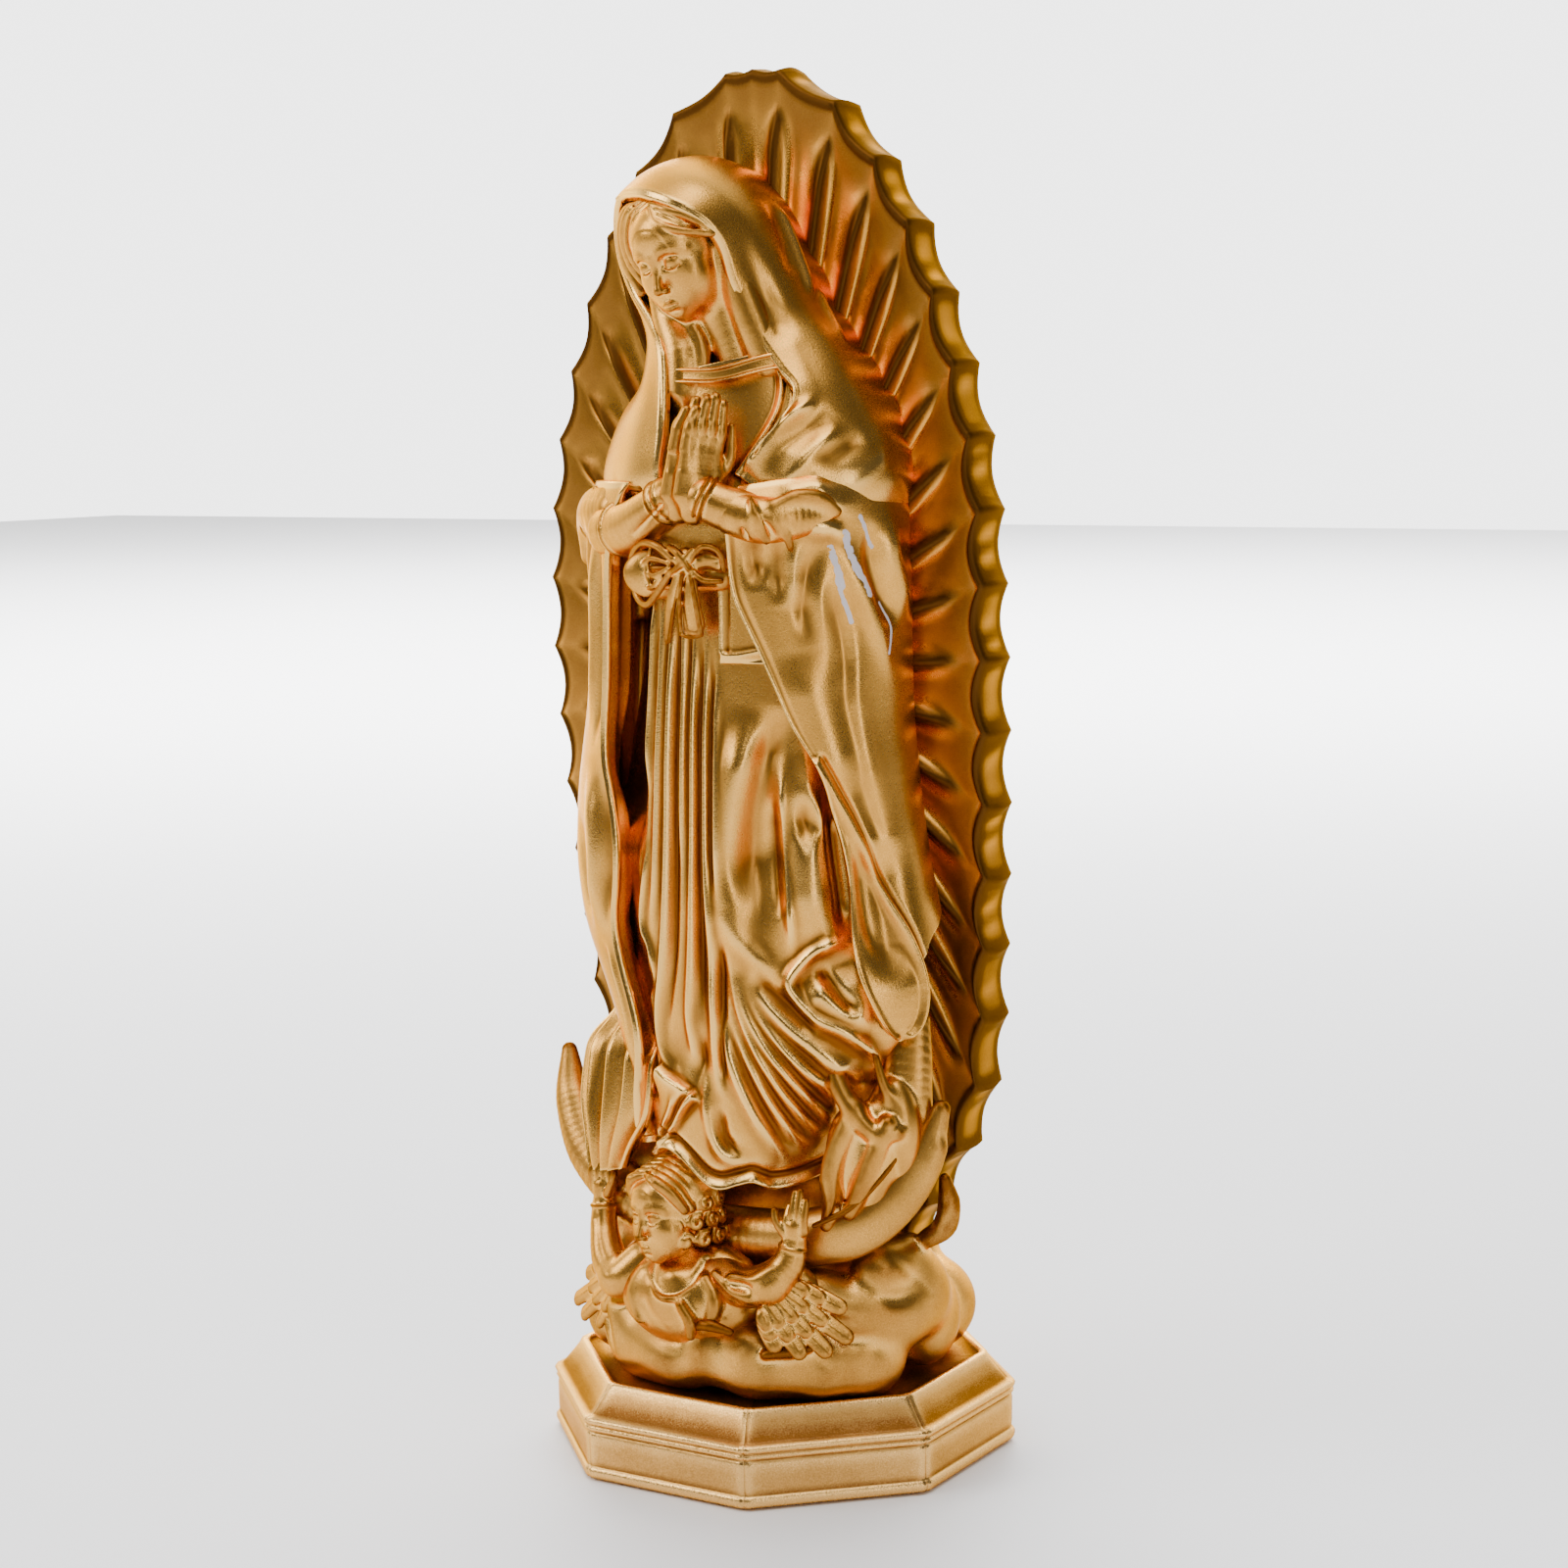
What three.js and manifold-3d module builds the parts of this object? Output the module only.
// A gilded Madonna statuette: a robed figure with joined hands stands on a crescent moon,
// borne up by a small angel on a cloud, in front of a fluted, scalloped almond-shaped glory,
// all on an eight-sided plinth. Millimetres, +Z up, origin under the middle of the plinth.
// The figure faces -Y, and "left" and "right" are the figure's own.
import * as THREE from "three";
import { mergeVertices } from "three/addons/utils/BufferGeometryUtils.js";
import Module from "manifold-3d";

const wasm = await Module();
wasm.setup();

// Driving dimensions.
const PLINTH_HALF = 32.5; // half of the plinth's width across its flats
const PLINTH_TOP = 12.8; // height of the plinth's flat top
const FELT_THICK = 1.0; // felt pad under the plinth
const FELT_PROUD = 0.2; // how far the felt stands below the plinth
const GAP = 0.3; // clearance between neighbouring pieces
const GROW = 0.42; // how far a cutter stands out along its vertex normals, to leave GAP
const OVERLAP = 0.002; // mm3, the most that a cut may leave to be cut again
const LIMB_FRAMES = 60; // frames along a limb's curve
const LIMB_FULLNESS = 1.6; // how near its ends a limb keeps its full radius

const GLORY_FRONT = -3.75; // front plane of the glory's upper part
const GLORY_THICK = 8;
const GLORY_CUSPS = 19; // points of the scalloped rim on each side
const GLORY_CUSP_PITCH = 10.45; // along the rim
const GLORY_FIRST_CUSP = 4.8; // rim length from the axis to the first point
const GLORY_SCALLOP = 1.3; // depth of the hollow between two points
const GLORY_BEND_TOP = 125; // below this height the glory leans back
const GLORY_BEND = 5.5; // lean at 65 mm below that

const MOON_OUTER = { z: 65.4, r: 35.4 }; // circle of the crescent's lower edge
const MOON_INNER = { z: 73.5, r: 38.1 }; // circle of its upper edge
const MOON_FRONT = -19.5; // middle of the crescent at x = 0
const MOON_CURL = 8.5; // how far its horns lean back
const MOON_THICK = 6.5;

const GOLD = new THREE.Color(0.74, 0.53, 0.22);

const pieces = new Map();

// Manifold solid of a closed geometry.
function solid(geometry) {
  const bare = geometry.clone();
  bare.deleteAttribute("normal");
  bare.deleteAttribute("uv");
  const merged = mergeVertices(bare, 1e-4);
  const vertProperties = new Float32Array(merged.attributes.position.array);
  const triVerts = new Uint32Array(merged.index.array);
  return new wasm.Manifold(new wasm.Mesh({ numProp: 3, vertProperties, triVerts }));
}

// Geometry of the largest connected body of a manifold solid.
function largestBody(manifold) {
  const bodies = manifold.decompose().sort((a, b) => b.volume() - a.volume());
  const mesh = bodies[0].getMesh();
  const geometry = new THREE.BufferGeometry();
  geometry.setAttribute("position", new THREE.BufferAttribute(mesh.vertProperties, 3));
  geometry.setIndex(new THREE.BufferAttribute(mesh.triVerts, 1));
  geometry.computeVertexNormals();
  return geometry;
}

// The same shape with every vertex pushed out along its normal.
function grown(geometry) {
  const bare = geometry.clone();
  bare.deleteAttribute("normal");
  bare.deleteAttribute("uv");
  const merged = mergeVertices(bare, 1e-4);
  merged.computeVertexNormals();
  const { position, normal } = merged.attributes;
  for (let i = 0; i < position.count; i++) {
    position.setXYZ(
      i,
      position.getX(i) + normal.getX(i) * GROW,
      position.getY(i) + normal.getY(i) * GROW,
      position.getZ(i) + normal.getZ(i) * GROW,
    );
  }
  return merged;
}

// Adds a piece, cut clear of the pieces named in clearOf.
function add(name, geometry, clearOf = [], look = {}) {
  let body = solid(geometry);
  for (const other of clearOf) {
    const { geometry: neighbour } = pieces.get(other);
    body = body.subtract(solid(grown(neighbour)));
    if (body.intersect(solid(neighbour)).volume() > OVERLAP) {
      body = body.subtract(solid(neighbour));
    }
  }
  const material = new THREE.MeshStandardMaterial({
    color: look.color ?? GOLD,
    metalness: look.metalness ?? 0.9,
    roughness: look.roughness ?? 0.38,
  });
  const mesh = new THREE.Mesh(largestBody(body), material);
  mesh.name = name;
  pieces.set(name, mesh);
}

// Moves every vertex of a geometry: place(v) changes the vector it is given.
function bent(geometry, place) {
  const { position } = geometry.attributes;
  const v = new THREE.Vector3();
  for (let i = 0; i < position.count; i++) {
    v.fromBufferAttribute(position, i);
    place(v);
    position.setXYZ(i, v.x, v.y, v.z);
  }
  return geometry;
}

// A closed body through level sections [z, centre x, centre y, half-width x, half-width y].
function loft(sections, sides = 20, squareness = 1) {
  const rings = sections.length - 1;
  const drum = new THREE.CylinderGeometry(1, 1, rings, sides, rings);
  return bent(drum, (v) => {
    const [z, cx, cy, rx, ry] = sections[Math.round(v.y + rings / 2)];
    const x = Math.sign(v.x) * Math.abs(v.x) ** squareness;
    const y = Math.sign(v.z) * Math.abs(v.z) ** squareness;
    v.set(cx + rx * x, cy - ry * y, z);
  });
}

// A round-ended limb through points, with a radius at each.
function limb(points, radii, sides = 10, steps = 8) {
  const curve = new THREE.CatmullRomCurve3(points.map((p) => new THREE.Vector3(...p)));
  const rod = new THREE.SphereGeometry(1, sides, steps);
  const frames = curve.computeFrenetFrames(LIMB_FRAMES);
  return bent(rod, (v) => {
    const along = (v.y + 1) / 2;
    const place = along * (radii.length - 1);
    const i = Math.min(Math.floor(place), radii.length - 2);
    const radius = THREE.MathUtils.lerp(radii[i], radii[i + 1], place - i);
    const round = Math.sqrt(Math.max(1 - v.y * v.y, 0));
    const full = Math.min(1, LIMB_FULLNESS * round);
    const scale = round > 0 ? (radius * full) / round : 0;
    const frame = Math.round(along * LIMB_FRAMES);
    const centre = curve.getPointAt(along);
    const side = frames.normals[frame].clone().multiplyScalar(v.x * scale);
    const up = frames.binormals[frame].clone().multiplyScalar(-v.z * scale);
    v.copy(centre.add(side).add(up));
  });
}

function ellipsoid(centre, radii, sides = 18, tilt = 0) {
  const ball = new THREE.SphereGeometry(1, sides, Math.round(sides * 0.6));
  ball.scale(...radii);
  ball.rotateY(tilt);
  ball.translate(...centre);
  return ball;
}

// A figure turned about +Z from [radius, z] pairs, with its flats or points set by turn.
function turned(profile, sides, turn = 0) {
  const points = profile.map(([r, z]) => new THREE.Vector2(r, z));
  return new THREE.LatheGeometry(points, sides, turn).rotateX(Math.PI / 2);
}

// ---- Base -------------------------------------------------------------------------------

const OCTAGON = 1 / Math.cos(Math.PI / 8); // corner radius over half-width across flats

function octagonal(profile) {
  return turned(profile.map(([half, z]) => [half * OCTAGON, z]), 8, Math.PI / 8);
}

function makeBase() {
  const recess = PLINTH_HALF - 3;
  const ceiling = FELT_THICK;
  add("plinth", octagonal([
    [0, ceiling],
    [recess, ceiling],
    [recess, FELT_PROUD],
    [PLINTH_HALF - 0.6, FELT_PROUD],
    [PLINTH_HALF, 1],
    [PLINTH_HALF - 0.2, 2],
    [PLINTH_HALF - 0.5, 2.5],
    [PLINTH_HALF - 0.5, 7.2],
    [PLINTH_HALF, 8],
    [PLINTH_HALF - 0.1, 8.8],
    [PLINTH_HALF - 1.2, 9.5],
    [PLINTH_HALF - 3.9, 12.9],
    [PLINTH_HALF - 4.3, 13.5],
    [PLINTH_HALF - 5.2, 13.5],
    [PLINTH_HALF - 5.6, PLINTH_TOP],
    [0, PLINTH_TOP],
  ]));
  const felt = recess - GAP;
  add("felt_pad", octagonal([[0, 0], [felt, 0], [felt, FELT_THICK], [0, FELT_THICK]]), [], {
    color: new THREE.Color(0.1, 0.09, 0.08),
    metalness: 0,
    roughness: 0.95,
  });
}

// ---- Glory ------------------------------------------------------------------------------

function gloryLean(z) {
  return z < GLORY_BEND_TOP ? GLORY_BEND * ((GLORY_BEND_TOP - z) / 65) ** 1.3 : 0;
}

function makeGlory() {
  const side = new THREE.SplineCurve([
    [0, 202.4], [12.6, 196.6], [23.9, 181.6], [31.2, 163.4], [35.8, 144],
    [36.9, 125], [36.7, 108], [36, 92], [34.9, 77], [33.8, 64], [32.1, 55], [28.6, 46],
    [25, 40], [22, 35], [19.6, 29], [18, 22],
  ].map(([x, z]) => new THREE.Vector2(x, z)));
  const length = side.getLength();
  const points = [];
  const perCusp = 4;
  for (let i = 0; i <= (GLORY_CUSPS - 1) * perCusp; i++) {
    const along = GLORY_FIRST_CUSP + (i / perCusp) * GLORY_CUSP_PITCH;
    const at = side.getPointAt(along / length);
    const tangent = side.getTangentAt(along / length);
    const hollow = GLORY_SCALLOP * Math.sin((Math.PI * (i % perCusp)) / perCusp);
    points.push(new THREE.Vector2(at.x + tangent.y * hollow, at.y - tangent.x * hollow));
  }
  points.push(side.getPointAt(1));
  const left = points.map((p) => new THREE.Vector2(-p.x, p.y)).reverse();
  const notch = new THREE.Vector2(0, side.getPointAt(0).y - GLORY_SCALLOP);
  const outline = new THREE.Shape([...left, notch, ...points]);
  const plate = new THREE.ExtrudeGeometry(outline, {
    depth: GLORY_THICK,
    steps: 1,
    bevelEnabled: false,
    curveSegments: 1,
  });
  plate.rotateX(Math.PI / 2).translate(0, GLORY_FRONT + GLORY_THICK, 0);
  add("glory", bent(plate, (v) => v.setY(v.y + gloryLean(v.z))));
}

// ---- Crescent moon ----------------------------------------------------------------------

function makeMoon() {
  const { z: outerZ, r: outerR } = MOON_OUTER;
  const { z: innerZ, r: innerR } = MOON_INNER;
  const apart = innerZ - outerZ;
  const crossZ = (outerR ** 2 - innerR ** 2 + innerZ ** 2 - outerZ ** 2) / (2 * apart);
  const halfSpan = Math.sqrt(outerR ** 2 - (crossZ - outerZ) ** 2);
  const outerTip = Math.atan2(crossZ - outerZ, halfSpan);
  const innerTip = Math.atan2(crossZ - innerZ, halfSpan);
  const outline = new THREE.Shape();
  outline.absarc(0, outerZ, outerR, Math.PI - outerTip, 2 * Math.PI + outerTip, false);
  outline.absarc(0, innerZ, innerR, innerTip, -Math.PI - innerTip, true);
  const horn = new THREE.ExtrudeGeometry(outline, {
    depth: MOON_THICK,
    steps: 1,
    bevelEnabled: false,
    curveSegments: 26,
  });
  horn.rotateX(Math.PI / 2).translate(0, MOON_THICK / 2, 0);
  add("crescent_moon", bent(horn, (v) => {
    const out = Math.min(Math.abs(v.x) / halfSpan, 1);
    v.setY(MOON_FRONT + v.y * (1 - 0.6 * out ** 2) + MOON_CURL * out ** 2);
  }));
}

// ---- Figure -----------------------------------------------------------------------------

function makeHead() {
  const skull = solid(ellipsoid([0.2, -17.3, 172.5], [7.4, 8.6, 10], 20));
  const neck = solid(loft([
    [156.5, 4.6, -15.2, 4.4, 4.4],
    [160, 4, -15.2, 4.1, 4.2],
    [168, 2, -15.5, 4.3, 4.6],
  ], 14));
  add("head", largestBody(skull.add(neck)));
}

function makeHands() {
  const height = [141.6, 146, 151, 155.4];
  const palm = (inner, sign) => loft([
    [height[0], inner + sign * 2.3, -28.2, 1.9, 3],
    [height[1], inner + sign * 2.1, -29.2, 1.8, 3.5],
    [height[2], inner + sign * 1.6, -30.2, 1.4, 3],
    [height[3], inner + sign * 1, -31, 0.8, 1.6],
  ], 12);
  add("left_hand", palm(6.3, 1));
  add("right_hand", palm(6, -1));
  add("left_cuff",
    limb([[13, -27.4, 140], [11.3, -28, 140.6], [9.6, -28.4, 141.3]], [3.6, 3.4, 3.2], 12, 6),
    ["left_hand", "right_hand"]);
  add("right_cuff",
    limb([[-1, -26.6, 139.8], [0.6, -27.3, 140.4], [2.2, -27.9, 141.1]], [3.4, 3.2, 3], 12, 6),
    ["left_hand", "right_hand", "left_cuff"]);
  add("left_sleeve",
    limb([[20, -13, 149], [22.6, -18, 140], [20, -23, 136.5], [15.5, -26, 138.5], [12.5, -27.5, 140]],
      [5.5, 6, 6, 5, 4], 14, 10),
    ["left_hand", "right_hand", "left_cuff", "right_cuff"]);
  add("right_sleeve",
    limb([[-14, -12, 149], [-15.5, -17, 142], [-12, -22, 137.5], [-5, -25, 137.5], [-1.5, -26.5, 139.5]],
      [5, 5.4, 5, 4.2, 3.6], 14, 10),
    ["left_hand", "right_hand", "left_cuff", "right_cuff", "left_sleeve"]);
}

function makeBow() {
  const front = -29.4;
  const thick = 2.7;
  const shape = new THREE.Shape();
  shape.moveTo(1.5, 131);
  shape.quadraticCurveTo(4.6, 133.4, 8.4, 131.4);
  shape.quadraticCurveTo(8.8, 127.6, 2.4, 128.8);
  shape.lineTo(4.6, 121.4);
  shape.lineTo(0.8, 121.6);
  shape.lineTo(-0.2, 128.6);
  shape.lineTo(-3.6, 123.4);
  shape.lineTo(-6.6, 124.8);
  shape.lineTo(-2.4, 128.8);
  shape.quadraticCurveTo(-9, 127, -9.4, 131);
  shape.quadraticCurveTo(-5, 133.4, -1.5, 131);
  const bow = new THREE.ExtrudeGeometry(shape, {
    depth: thick,
    steps: 1,
    bevelEnabled: false,
    curveSegments: 5,
  });
  bow.rotateX(Math.PI / 2).translate(0, front + thick, 0);
  add("sash_bow", bow, ["left_sleeve", "right_sleeve", "left_cuff", "right_cuff"]);
}

function makeRobes() {
  const hands = ["left_hand", "right_hand", "left_cuff", "right_cuff"];
  const sleeves = ["left_sleeve", "right_sleeve"];
  const collar = turned([[4.7, -1.1], [7, -1.3], [7.4, 0], [6.2, 1.4], [4.9, 1], [4.7, -1.1]], 20);
  collar.rotateX(0.25).translate(4.8, -15.4, 156.6);
  add("collar", collar, ["head", "glory"]);
  add("tunic", loft([
    [118, 1.6, -14.6, 12.6, 10.6],
    [128, 2, -14.4, 11, 10.6],
    [140, 2, -14.4, 10.6, 10.6],
    [150, 3.2, -14.5, 10, 9],
    [155.4, 4.2, -15, 7.6, 6.5],
  ], 20), ["collar", "head", ...hands, ...sleeves, "glory"]);
  add("left_mantle", loft([
    [51, 27.4, -15, 4, 5],
    [56, 27, -14.5, 6, 8],
    [66, 25.6, -14, 8, 10],
    [80, 21.8, -14, 8, 11.4],
    [100, 18.6, -14, 8.4, 12],
    [120, 18.2, -13.5, 8, 12],
    [136, 17.6, -13, 7.8, 11],
    [147.5, 17, -10.5, 6.5, 7],
  ], 20, 0.85), [...hands, ...sleeves, "tunic", "glory", "crescent_moon"]);
  add("right_mantle", loft([
    [46, -12.8, -12, 4, 6],
    [56, -14.6, -12, 5, 7],
    [70, -19.2, -12, 5.6, 8],
    [88, -21.8, -12, 5.6, 9],
    [104, -20.5, -12, 5.6, 9],
    [120, -18.4, -12, 5.6, 9.4],
    [138, -17, -12.5, 6, 9.5],
    [150, -14, -10.5, 6, 6.6],
  ], 20, 0.85), [...hands, ...sleeves, "tunic", "glory", "crescent_moon"]);
  add("veil", loft([
    [143, 3, -8.5, 20.5, 8],
    [150, 3, -9, 20.5, 9],
    [156, 3.4, -9.6, 18, 9.5],
    [163, 2.6, -10.6, 14, 10],
    [172, 0.2, -12.4, 12.4, 11],
    [180, -1.4, -13.6, 10.6, 10],
    [185.5, -2.4, -14, 6.6, 6.6],
    [187.8, -2.7, -14, 2, 2.4],
  ], 24), ["head", "collar", "tunic", ...hands, ...sleeves, "left_mantle", "right_mantle", "glory"]);
  add("sash", turned([[11.9, -2], [13.2, -1.6], [13.2, 1.6], [11.9, 2], [11.9, -2]], 24)
    .scale(1.12, 0.93, 1).translate(2, -14, 130),
    ["tunic", "left_mantle", "right_mantle", ...hands, ...sleeves, "glory"]);
}

function makeSkirt() {
  add("gown", loft([
    [44.5, 3, -14, 14.5, 13.5],
    [48, 2.4, -14, 18.5, 15],
    [60, 1.4, -14, 18.5, 14],
    [80, 0.8, -14, 17, 13.2],
    [100, 1.2, -14.4, 16, 12],
    [117.5, 1.6, -14.4, 14.6, 10.8],
  ], 24), ["left_mantle", "right_mantle", "tunic", "crescent_moon", "glory", "angel_head",
    "angel_left_arm", "angel_right_arm"]);
}

// ---- Angel ------------------------------------------------------------------------------

function makeAngel() {
  add("angel_head", ellipsoid([-0.8, -26.2, 40.3], [6.2, 6.2, 6.9], 18), ["crescent_moon"]);
  add("angel_left_arm",
    limb([[8, -25, 30.4], [13.4, -26.4, 31.6], [16.4, -27, 36.6], [17.8, -27, 44.6]],
      [2.9, 2.6, 2.1, 1.4]), ["angel_head", "crescent_moon"]);
  add("angel_right_arm",
    limb([[-8, -24.5, 28.6], [-13.2, -24, 29.4], [-15.4, -23, 36], [-16.4, -22.4, 44.6]],
      [2.9, 2.6, 2.1, 1.4]), ["angel_head", "crescent_moon"]);
  add("angel_torso", loft([
    [17, -0.4, -22.6, 10.4, 5],
    [24, 0, -24.2, 10, 5.4],
    [30, 0.6, -25, 8, 4.6],
    [34, 0.4, -25, 4, 3.4],
  ], 16), ["angel_head", "angel_left_arm", "angel_right_arm", "crescent_moon"]);
  const arms = ["angel_left_arm", "angel_right_arm", "angel_torso", "crescent_moon"];
  add("angel_left_wing", ellipsoid([18.8, -24.2, 26.4], [8.6, 2, 4.6], 14, 0.28), arms);
  add("angel_right_wing", ellipsoid([-18.6, -20.6, 24.4], [7.6, 2, 4.2], 14, -0.42), arms);
}

function makeCloud() {
  const bank = turned([
    [0, PLINTH_TOP + GAP],
    [22.6, PLINTH_TOP + GAP],
    [24, 15],
    [25, 19],
    [25, 24],
    [25.6, 29],
    [24, 33.5],
    [18, 37],
    [9, 38.5],
    [0, 38.5],
  ], 28);
  const lumps = 7;
  add("cloud_bank", bent(bank, (v) => {
    const around = Math.atan2(v.y, v.x);
    const swell = 1 + 0.045 * Math.sin(lumps * around) * Math.min(1, (v.z - PLINTH_TOP) / 8);
    v.setX(v.x * swell);
    v.setY(v.y * swell);
  }), ["glory", "crescent_moon", "gown", "left_mantle", "right_mantle", "angel_head", "angel_torso",
    "angel_left_arm", "angel_right_arm", "angel_left_wing", "angel_right_wing"]);
}

makeBase();
makeGlory();
makeMoon();
makeHead();
makeHands();
makeRobes();
makeBow();
makeAngel();
makeSkirt();
makeCloud();

const statuette = new THREE.Group();
statuette.add(...pieces.values());

export default statuette;
